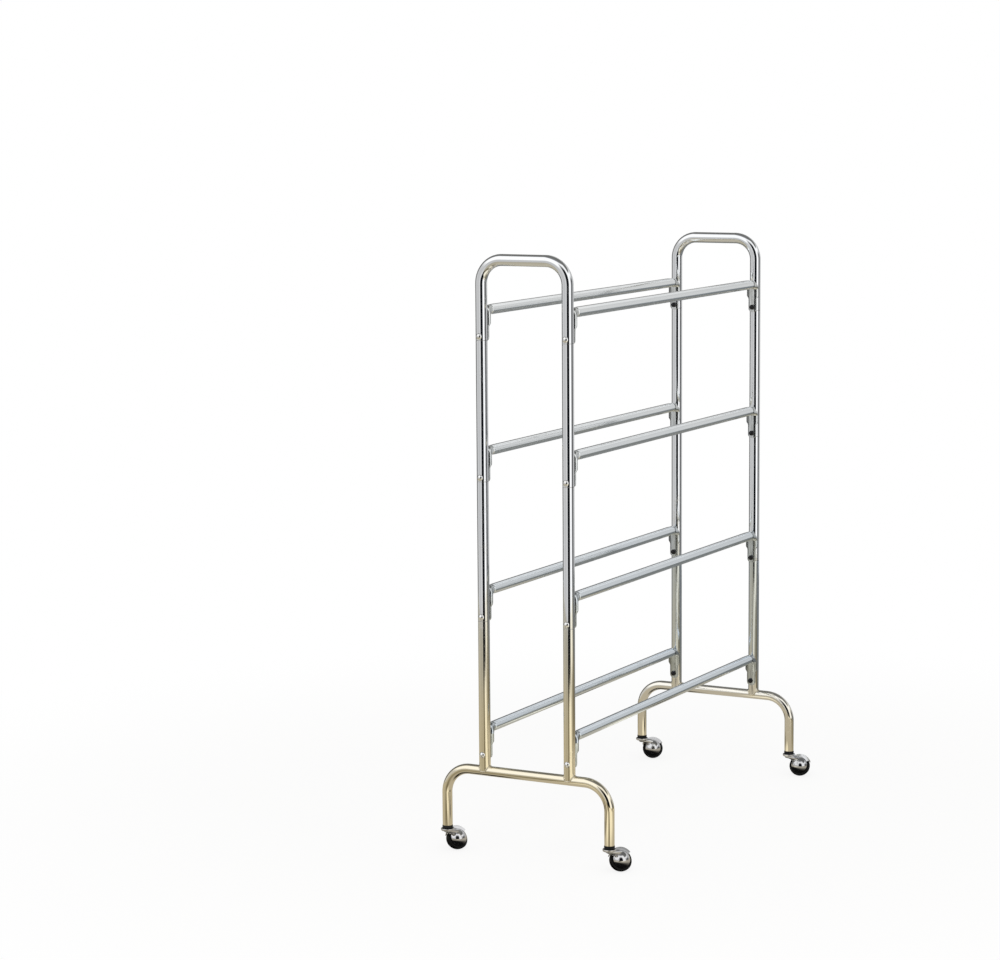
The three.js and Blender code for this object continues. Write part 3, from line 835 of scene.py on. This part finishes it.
def fender_bmesh(axle):
    """The curved strip over the tyre, with its web down to the dome."""
    bm = bmesh.new()
    web = -DOME_INSET - FENDER_WALL
    outer = ball_profile(WHEEL_SPACE + FENDER_WALL, web, FENDER_REACH, FENDER_RINGS)
    inner = ball_profile(WHEEL_SPACE, -DOME_INSET, FENDER_REACH, FENDER_RINGS)
    section = [(DOME_HOLLOW, web), *outer, *inner[::-1], (DOME_HOLLOW, -DOME_INSET)]
    verts = [bm.verts.new((r, 0, z)) for r, z in section]
    edges = [bm.edges.new(pair) for pair in zip(verts, verts[1:] + verts[:1])]
    bmesh.ops.rotate(
        bm, verts=verts, cent=(0, 0, 0), matrix=Matrix.Rotation(-math.pi / 2 - FENDER_SPREAD, 3, "Z"),
    )
    made = bmesh.ops.spin(
        bm, geom=verts + edges, cent=(0, 0, 0), axis=(0, 0, 1), dvec=(0, 0, 0),
        angle=2 * FENDER_SPREAD, steps=FENDER_STEPS, use_merge=False, use_duplicate=False,
    )
    last = [e for e in made["geom_last"] if isinstance(e, bmesh.types.BMEdge)]
    bmesh.ops.edgeloop_fill(bm, edges=edges)
    bmesh.ops.edgeloop_fill(bm, edges=last)
    bmesh.ops.recalc_face_normals(bm, faces=bm.faces[:])
    softened(bm, THIN_ROUND)
    bmesh.ops.transform(bm, matrix=axle, verts=bm.verts[:])
    return bm


def arm_point(turn, ring):
    """A point of one of the arm's rings, at an angle round it."""
    x, z, width, height = ring
    across, up = squared(turn, ARM_POWER)
    return Vector((x, ARM_OFFSET + across * width, z + up * height))


def arm_bmesh():
    """The arm from the horn down to the dome, as rounded rings along X."""
    bm = skinned(ARM_RINGS, ARM_SIDES, arm_point)
    softened(bm, ARM_ROUND, 3, STEEP_ANGLE)
    return bm


def on_axle(profile, axle, round_by=0.0):
    """A turned form on the wheel's axle."""
    bm = bmesh.new()
    turned(bm, profile)
    if round_by:
        softened(bm, round_by, 3)
    bmesh.ops.transform(bm, matrix=axle, verts=bm.verts[:])
    return bm


def horn_bmesh():
    """The horn under the leg, with its neck below it, bored for the pivot."""
    bm = bmesh.new()
    horn_foot = HORN_TOP - HORN_THICKNESS
    turned(bm, [
        (AXLE_BORE, NECK_FOOT), (NECK_RADIUS, NECK_FOOT), (NECK_RADIUS, horn_foot),
        (HORN_RADIUS, horn_foot), (HORN_RADIUS, HORN_TOP), (AXLE_BORE, HORN_TOP),
    ])
    softened(bm, HORN_ROUND, 4)
    return bm


def dome_bmesh(axle):
    """The hollow dome on the wheel's inner side."""
    outside = arc(DOME_RADIUS, -math.pi / 2, math.asin(-DOME_INSET / DOME_RADIUS), DOME_STEPS)
    inside = arc(DOME_HOLLOW, math.asin(-DOME_INSET / DOME_HOLLOW), -math.pi / 2, HOLLOW_STEPS)
    outside[0], inside[-1] = (0.0, -DOME_RADIUS), (0.0, -DOME_HOLLOW)
    return on_axle(outside + inside, axle, RIM_ROUND)


def boss_bmesh(axle):
    """The boss inside the dome that holds the axle."""
    return on_axle([
        (0.0, -DOME_HOLLOW - BOSS_SINK), (BOSS_RADIUS, -DOME_HOLLOW + BOSS_EDGE),
        (BOSS_RADIUS, BOSS_FOOT), (0.0, BOSS_FOOT),
    ], axle)


def hood_cutters(axle):
    """Scratch objects for the room of the wheel, of the dome's hollow and of the pivot."""
    clear = arc(WHEEL_SPACE, math.asin(-DOME_INSET / WHEEL_SPACE), math.pi / 2, HOLLOW_STEPS)
    wheel = on_axle([(0.0, -DOME_INSET), *clear[:-1], (0.0, WHEEL_SPACE)], axle)
    cavity = arc(DOME_HOLLOW, -math.pi / 2, CAVITY_END, CAVITY_STEPS)
    cavity[0] = (0.0, -DOME_HOLLOW)
    hollow = on_axle([*cavity, (0.0, cavity[-1][1])], axle)
    pivot = bmesh.new()
    turned(pivot, [
        (0.0, RIVET_ROOM_FOOT), (RIVET_ROOM_RADIUS, RIVET_ROOM_FOOT), (RIVET_ROOM_RADIUS, NECK_FOOT),
        (AXLE_BORE, NECK_FOOT), (AXLE_BORE, PIVOT_HOLE_TOP), (0.0, PIVOT_HOLE_TOP),
    ])
    return [holder_of(bm, "cutter") for bm in (wheel, hollow, pivot)]


def hood_mesh(axle):
    """The hood casting in the caster's own place: horn, neck, dome, boss, arm and fender."""
    cutters = hood_cutters(axle)
    arm = carved(arm_bmesh(), cutters)
    fender = carved(fender_bmesh(axle), cutters[-1:])
    for cutter in cutters:
        bpy.data.objects.remove(cutter)
    whole = bmesh.new()
    for bm in (horn_bmesh(), dome_bmesh(axle), boss_bmesh(axle), arm, fender):
        mesh = mesh_of(bm, "hood_part")
        whole.from_mesh(mesh)
        bpy.data.meshes.remove(mesh)
    return mesh_of(whole, "hood")


def axle_mesh():
    """The axle pin, with a domed head on the wheel's outer side."""
    bm = bmesh.new()
    end = BOSS_FOOT - AXLE_DEPTH
    foot = CORE_FAR + THRUST_GAP
    swell = arc(AXLE_HEAD_RADIUS, 0, math.pi / 2, 6)
    head = [(r, foot + z * AXLE_HEAD_HEIGHT / AXLE_HEAD_RADIUS) for r, z in swell]
    head[-1] = (0.0, foot + AXLE_HEAD_HEIGHT)
    turned(bm, [(0.0, end), (AXLE_RADIUS, end), (AXLE_RADIUS, foot), *head])
    return mesh_of(bm, "axle")


def core_mesh():
    """The wheel's plastic core, with a lip beside the tyre."""
    bm = bmesh.new()
    lip = CORE_RADIUS + CORE_LIP
    lip_end = TYRE_NEAR - TYRE_PLAY
    turned(bm, [
        (AXLE_BORE, CORE_NEAR), (lip, CORE_NEAR), (lip, lip_end), (CORE_RADIUS, lip_end),
        (CORE_RADIUS, CORE_FAR), (AXLE_BORE, CORE_FAR),
    ])
    softened(bm, THIN_ROUND)
    return mesh_of(bm, "core")


def tyre_mesh():
    """The outer half of the ball, with a round bore in its cap."""
    bm = bmesh.new()
    inner = CORE_RADIUS + TYRE_PLAY
    floor = CORE_FAR + TYRE_PLAY
    outline = ball_profile(BALL_RADIUS, TYRE_NEAR, TYRE_CAP, TYRE_RINGS)
    turned(bm, [
        (inner, TYRE_NEAR), *outline, (CAP_BORE, TYRE_CAP), (CAP_BORE, floor), (inner, floor),
    ], TYRE_STEPS)
    softened(bm, TYRE_ROUND, 3)
    return mesh_of(bm, "tyre")


def build_casters():
    """The four casters, each turned to the heading that the frame's joints give."""
    joints = {j["name"]: j for j in frame["joints"]}
    ball = Vector((TRAIL, 0, BALL_RADIUS))
    axle = Matrix.Translation(ball) @ Matrix.Rotation(-math.pi / 2 - AXLE_TILT, 4, "X")
    hood, socket, stem = hood_mesh(axle), socket_mesh(), stem_mesh()
    wheel_parts = [
        ("axle_pin", axle_mesh(), "swivel", zinc_plate, "zinc_plate", "caster_axle"),
        ("wheel_hub", core_mesh(), "wheel", core_plastic, "core_plastic", "wheel_core"),
        ("ball_tyre", tyre_mesh(), "wheel", tyre_rubber, "tyre_rubber", "tyre"),
    ]
    for end in ENDS:
        for side in SIDES:
            corner = f"{end}_{side}"
            pivot = Vector(joints[f"{corner}_caster_turn"]["pos_m"])
            wheel = Vector(joints[f"{corner}_wheel_spin"]["pos_m"])
            heading = math.atan2(wheel.y - pivot.y, wheel.x - pivot.x)
            upright = Matrix.Translation((pivot.x, pivot.y, 0))
            turn = upright @ Matrix.Rotation(heading, 4, "Z")
            show(f"{corner}_socket", socket, "frame", socket_plastic, "socket_plastic",
                 f"{corner}_caster_socket", place=upright)
            show(f"{corner}_stem", stem, "frame", zinc_plate, "zinc_plate",
                 f"{corner}_caster_stem", place=upright)
            show(f"{corner}_hood", hood, f"{corner}_swivel", hood_chrome, "hood_chrome",
                 f"{corner}_caster_hood", place=turn)
            for label, mesh, body, material, slot, node in wheel_parts:
                show(f"{corner}_{label}", mesh, f"{corner}_{body}", material, slot,
                     f"{corner}_{node}", place=turn @ axle)


# Stage, light and camera

# What the chrome mirrors: bearings in degrees from +X, each with the tone that lies there
WALL_TONES = [
    (0, 0.5), (14, 0.35), (44, 0.3), (62, 0.1), (76, 0.06), (86, 0.66), (112, 0.56), (140, 0.5),
    (160, 0.52), (180, 0.66), (187, 0.64), (190, 0.0), (231, 0.0), (236, 0.8), (240, 1.0),
    (264, 1.0), (273, 0.6), (284, 0.12), (310, 0.1), (320, 0.66), (334, 0.78), (348, 0.68),
    (360, 0.5),
]
OUTER_FLOOR_TONES = [
    (0, 0.35), (70, 0.3), (110, 0.5), (140, 0.45), (165, 0.4), (182, 0.5), (186, 0.0), (221, 0.0),
    (227, 0.5), (234, 1.0), (258, 1.0), (268, 0.5), (280, 0.1), (305, 0.08), (325, 0.3),
    (360, 0.35),
]
MIDDLE_FLOOR_TONES = [
    (0, 0.35), (70, 0.3), (110, 0.45), (135, 0.46), (160, 0.4), (180, 0.42), (190, 0.12),
    (199, 0.1), (206, 0.9), (210, 1.0), (229, 1.0), (238, 0.5), (256, 0.28), (280, 0.12),
    (308, 0.08), (328, 0.3), (360, 0.35),
]
NEAR_FLOOR_TONES = [
    (0, 0.3), (40, 0.28), (80, 0.42), (120, 0.5), (150, 0.44), (160, 0.2), (171, 0.08),
    (176, 0.9), (180, 1.0), (190, 1.0), (194, 0.3), (199, 0.1), (203, 0.16), (208, 1.0),
    (230, 1.0), (240, 0.5), (258, 0.3), (266, 0.8), (282, 0.8), (292, 0.3), (320, 0.2),
    (360, 0.3),
]
CEILING_EDGES = [
    (0, 0.32), (122, 0.32), (136, 0.12), (166, 0.12), (182, 0.36), (190, 0.7), (226, 0.7),
    (236, 0.36), (250, 0.32), (360, 0.32),
]
WALL_DARK = (0.004, 0.005, 0.007, 1.0)
WALL_LIGHT = (1.0, 1.0, 1.0, 1.0)
WALL_SLATE = (0.16, 0.175, 0.19, 1.0)
FAR_SIDE_DIM = (0.73, 0.73, 0.73, 1.0)
BACK_WALL = (0.15, 0.15, 0.145, 1.0)
CEILING = (0.22, 0.22, 0.23, 1.0)
FLOOR_DARK = (0.09, 0.067, 0.022, 1.0)
FLOOR_MIDDLE = (0.5, 0.46, 0.38, 1.0)
FLOOR_LIGHT = (1.0, 0.94, 0.77, 1.0)
FLOOR_SLATE = (0.2, 0.205, 0.2, 1.0)
CASTER_SHADE = (0.006, 0.006, 0.006, 1.0)
FLOOR_RADIUS = 3.4
FLOOR_RINGS = [  # name, tones, the darkest colour, and where it takes over, in metres from the middle
    ("near", NEAR_FLOOR_TONES, FLOOR_DARK, 0.6, 0.88),
    ("middle", MIDDLE_FLOOR_TONES, FLOOR_DARK, 0.95, 1.25),
    ("outer", OUTER_FLOOR_TONES, WALL_DARK, 2.1, 2.6),
]
# Painted light: a small pool of light on the mirrored floor, under the cart, which only the chrome
# sees
BRIGHT_PATCH = (0.27, -0.07, 0.0)  # the middle of a small bright stretch of floor


def tones_round(name, table):
    """A node group that reads a table of tones by the bearing of a direction."""
    group, start, out = node_group(name, ("Direction",), ("Tone",))
    direction = axes(group, start.outputs["Direction"])
    turn = math_node(group, "ARCTAN2", direction["Y"], direction["X"])
    turns = math_node(group, "ADD", math_node(group, "DIVIDE", turn, math.tau), 1.0)
    ramp = add(group, "ShaderNodeValToRGB", {"Fac": math_node(group, "FRACT", turns)})
    stops = ramp.color_ramp
    stops.interpolation = "EASE"
    while len(stops.elements) > 1:
        stops.elements.remove(stops.elements[-1])
    stops.elements[0].position = table[0][0] / 360
    stops.elements[0].color = (*[table[0][1]] * 3, 1.0)
    for bearing, tone in table[1:]:
        stops.elements.new(bearing / 360).color = (tone, tone, tone, 1.0)
    group.links.new(ramp.outputs["Color"], out.inputs["Tone"])
    return group


def tone_at(tree, group, direction):
    """The tone that a group of tones_round reads in a direction."""
    tones = tree.nodes.new("ShaderNodeGroup")
    tones.node_tree = group
    tree.links.new(direction, tones.inputs["Direction"])
    return tones.outputs["Tone"]


def caster_distance(tree, coords):
    """How far a place on the floor is from the nearest caster's stem."""
    pivots = [Vector(j["pos_m"]) for j in frame["joints"] if j["name"].endswith("caster_turn")]
    middle = sum(pivots, Vector()) / len(pivots)
    corner = pivots[0] - middle
    centred = vector_node(tree, "SUBTRACT", coords, (middle.x, middle.y, 0))
    folded = vector_node(tree, "ABSOLUTE", centred)
    return vector_node(tree, "DISTANCE", folded, (abs(corner.x), abs(corner.y), 0))


def mirrored_floor(tree, coords, distance):
    """The floor that the chrome mirrors: warm sand with light and dark stretches."""
    sand = FLOOR_MIDDLE
    for name, table, dark, start, end in FLOOR_RINGS:
        tone = tone_at(tree, tones_round(f"{name}_floor_tones", table), coords)
        ring = mixed(tree, tone, dark, FLOOR_LIGHT)
        sand = mixed(tree, ranged(tree, distance, start, end), sand, ring)
    from_patch = vector_node(tree, "DISTANCE", coords, BRIGHT_PATCH)
    sand = mixed(tree, ranged(tree, from_patch, 0.15, 0.09), sand, FLOOR_LIGHT)
    sand = mixed(tree, ranged(tree, axes(tree, coords)["X"], 0.7, 1.1), sand, FLOOR_SLATE)
    return mixed(tree, ranged(tree, caster_distance(tree, coords), 0.045, 0.12), CASTER_SHADE, sand)


def build_stage():
    """The floor, which is white paper to the camera."""
    bm = bmesh.new()
    bmesh.ops.create_circle(bm, cap_ends=True, radius=FLOOR_RADIUS, segments=96)
    floor = bpy.data.objects.new("floor", mesh_of(bm, "floor"))
    bpy.context.scene.collection.objects.link(floor)
    material = bpy.data.materials.new("floor_paper")
    material.use_nodes = True
    tree = material.node_tree
    tree.nodes.clear()
    coords = add(tree, "ShaderNodeTexCoord").outputs["Object"]
    distance = vector_node(tree, "LENGTH", coords)
    path = add(tree, "ShaderNodeLightPath")
    paper = add(tree, "ShaderNodeBsdfDiffuse", {"Color": (0.88, 0.87, 0.85, 1.0)})
    white = add(tree, "ShaderNodeEmission", {"Color": (1, 1, 1, 1), "Strength": 1.0})
    seen = ranged(tree, distance, 0.7, 2.2, 0.86, 1.0)
    plain = add(tree, "ShaderNodeMixShader", {0: seen, 1: paper.outputs[0], 2: white.outputs[0]})
    sand = mirrored_floor(tree, coords, distance)
    mirrored = add(tree, "ShaderNodeEmission", {"Color": sand, "Strength": 1.0})
    mix = add(tree, "ShaderNodeMixShader", {
        0: path.outputs["Is Glossy Ray"], 1: plain.outputs[0], 2: mirrored.outputs[0],
    })
    out = add(tree, "ShaderNodeOutputMaterial")
    tree.links.new(mix.outputs[0], out.inputs["Surface"])
    floor.data.materials.append(material)


def mirrored_walls(tree, direction):
    """The walls and ceiling that the chrome mirrors, with the dim far side and the dark back."""
    parts = axes(tree, direction)
    x, y, z = parts["X"], parts["Y"], parts["Z"]
    tone = tone_at(tree, tones_round("wall_tones", WALL_TONES), direction)
    edge = tone_at(tree, tones_round("ceiling_edges", CEILING_EDGES), direction)
    overhead = ranged(tree, math_node(tree, "SUBTRACT", z, edge), -0.2, 0.16)
    walls = mixed(tree, math_node(tree, "MAXIMUM", tone, overhead), WALL_DARK, WALL_LIGHT)
    walls = mixed(tree, ranged(tree, x, 0.4, 0.65), walls, FAR_SIDE_DIM, "MULTIPLY")
    walls = mixed(tree, ranged(tree, z, 0.86, 0.93), walls, CEILING)
    behind = math_node(tree, "MAXIMUM", ranged(tree, y, 0.25, 0.42), ranged(tree, z, 0.5, 0.64))
    walls = mixed(tree, product(tree, behind, ranged(tree, x, -0.2, 0.05)), walls, BACK_WALL)
    low_end = product(tree, ranged(tree, x, 0.5, 0.75), ranged(tree, z, -0.14, -0.26))
    return mixed(tree, low_end, walls, WALL_SLATE)


def build_world():
    """A pale studio, white to the camera, with its own tones for what the chrome mirrors."""
    world = bpy.data.worlds.new("studio")
    bpy.context.scene.world = world
    world.use_nodes = True
    tree = world.node_tree
    tree.nodes.clear()
    direction = add(tree, "ShaderNodeTexCoord").outputs["Generated"]
    path = add(tree, "ShaderNodeLightPath")
    walls = mirrored_walls(tree, direction)
    studio = add(tree, "ShaderNodeBackground", {"Color": walls, "Strength": 1.12})
    plain = add(tree, "ShaderNodeBackground", {"Color": (1, 1, 1, 1), "Strength": 0.75})
    white = add(tree, "ShaderNodeBackground", {"Color": (1, 1, 1, 1), "Strength": 1.0})
    lit = add(tree, "ShaderNodeMixShader", {
        0: path.outputs["Is Glossy Ray"], 1: plain.outputs[0], 2: studio.outputs[0],
    })
    seen = add(tree, "ShaderNodeMixShader", {
        0: path.outputs["Is Camera Ray"], 1: lit.outputs[0], 2: white.outputs[0],
    })
    out = add(tree, "ShaderNodeOutputWorld")
    tree.links.new(seen.outputs[0], out.inputs["Surface"])


def area_light(name, place, aim, size, power):
    """A soft light aimed at a point, which the chrome doesn't mirror."""
    data = bpy.data.lights.new(name, "AREA")
    data.shape = "RECTANGLE"
    data.size, data.size_y = size
    data.energy = power
    lamp = bpy.data.objects.new(name, data)
    bpy.context.scene.collection.objects.link(lamp)
    lamp.location = place
    lamp.visible_glossy = False
    lamp.rotation_euler = (Vector(place) - Vector(aim)).to_track_quat("Z", "Y").to_euler()


def build_lights():
    middle = (0.0, 0.0, 0.6)
    area_light("key_softbox", (-3.2, -1.0, 4.2), middle, (2.4, 2.4), 60.0)
    area_light("side_softbox", (-1.0, -4.5, 2.2), middle, (1.6, 2.4), 25.0)


# The camera, from the fit to the photograph
LENS = 104.1
SENSOR_WIDTH = 36.0
VIEW_AZIMUTH = math.radians(-61.783)
VIEW_ELEVATION = math.radians(7.6945)
VIEW_ROLL = math.radians(-0.4214)
VIEW_DISTANCE = 6.0848
AIM_OFFSET = Vector((-0.6141, 0.0, 0.8529))


def build_camera():
    """The photograph's camera, placed from the middle of the four lower posts."""
    posts = [centre(f"{end}_{side}_lower_post") for end in ENDS for side in SIDES]
    axis = sum(posts, Vector()) / len(posts)
    aim = AIM_OFFSET + Vector((axis.x, axis.y, 0))
    east, north = math.cos(VIEW_AZIMUTH), math.sin(VIEW_AZIMUTH)
    flat = math.cos(VIEW_ELEVATION)
    level = Vector((east, north, 0))
    back = Vector((north * flat, -east * flat, math.sin(VIEW_ELEVATION)))
    upright = back.cross(level)
    right = math.cos(VIEW_ROLL) * level + math.sin(VIEW_ROLL) * upright
    up = back.cross(right)
    data = bpy.data.cameras.new("camera")
    data.lens = LENS
    data.sensor_fit = "HORIZONTAL"
    data.sensor_width = SENSOR_WIDTH
    camera = bpy.data.objects.new("camera", data)
    bpy.context.scene.collection.objects.link(camera)
    turn = Matrix((right, up, back)).transposed().to_4x4()
    camera.matrix_world = Matrix.Translation(aim + back * VIEW_DISTANCE) @ turn
    bpy.context.scene.camera = camera


for end_name in ENDS:
    build_end_frame(end_name)
build_rails()
build_bolts()
build_casters()
build_stage()
build_world()
build_lights()
build_camera()
bpy.context.scene.view_settings.view_transform = "Standard"

bpy.context.view_layer.update()
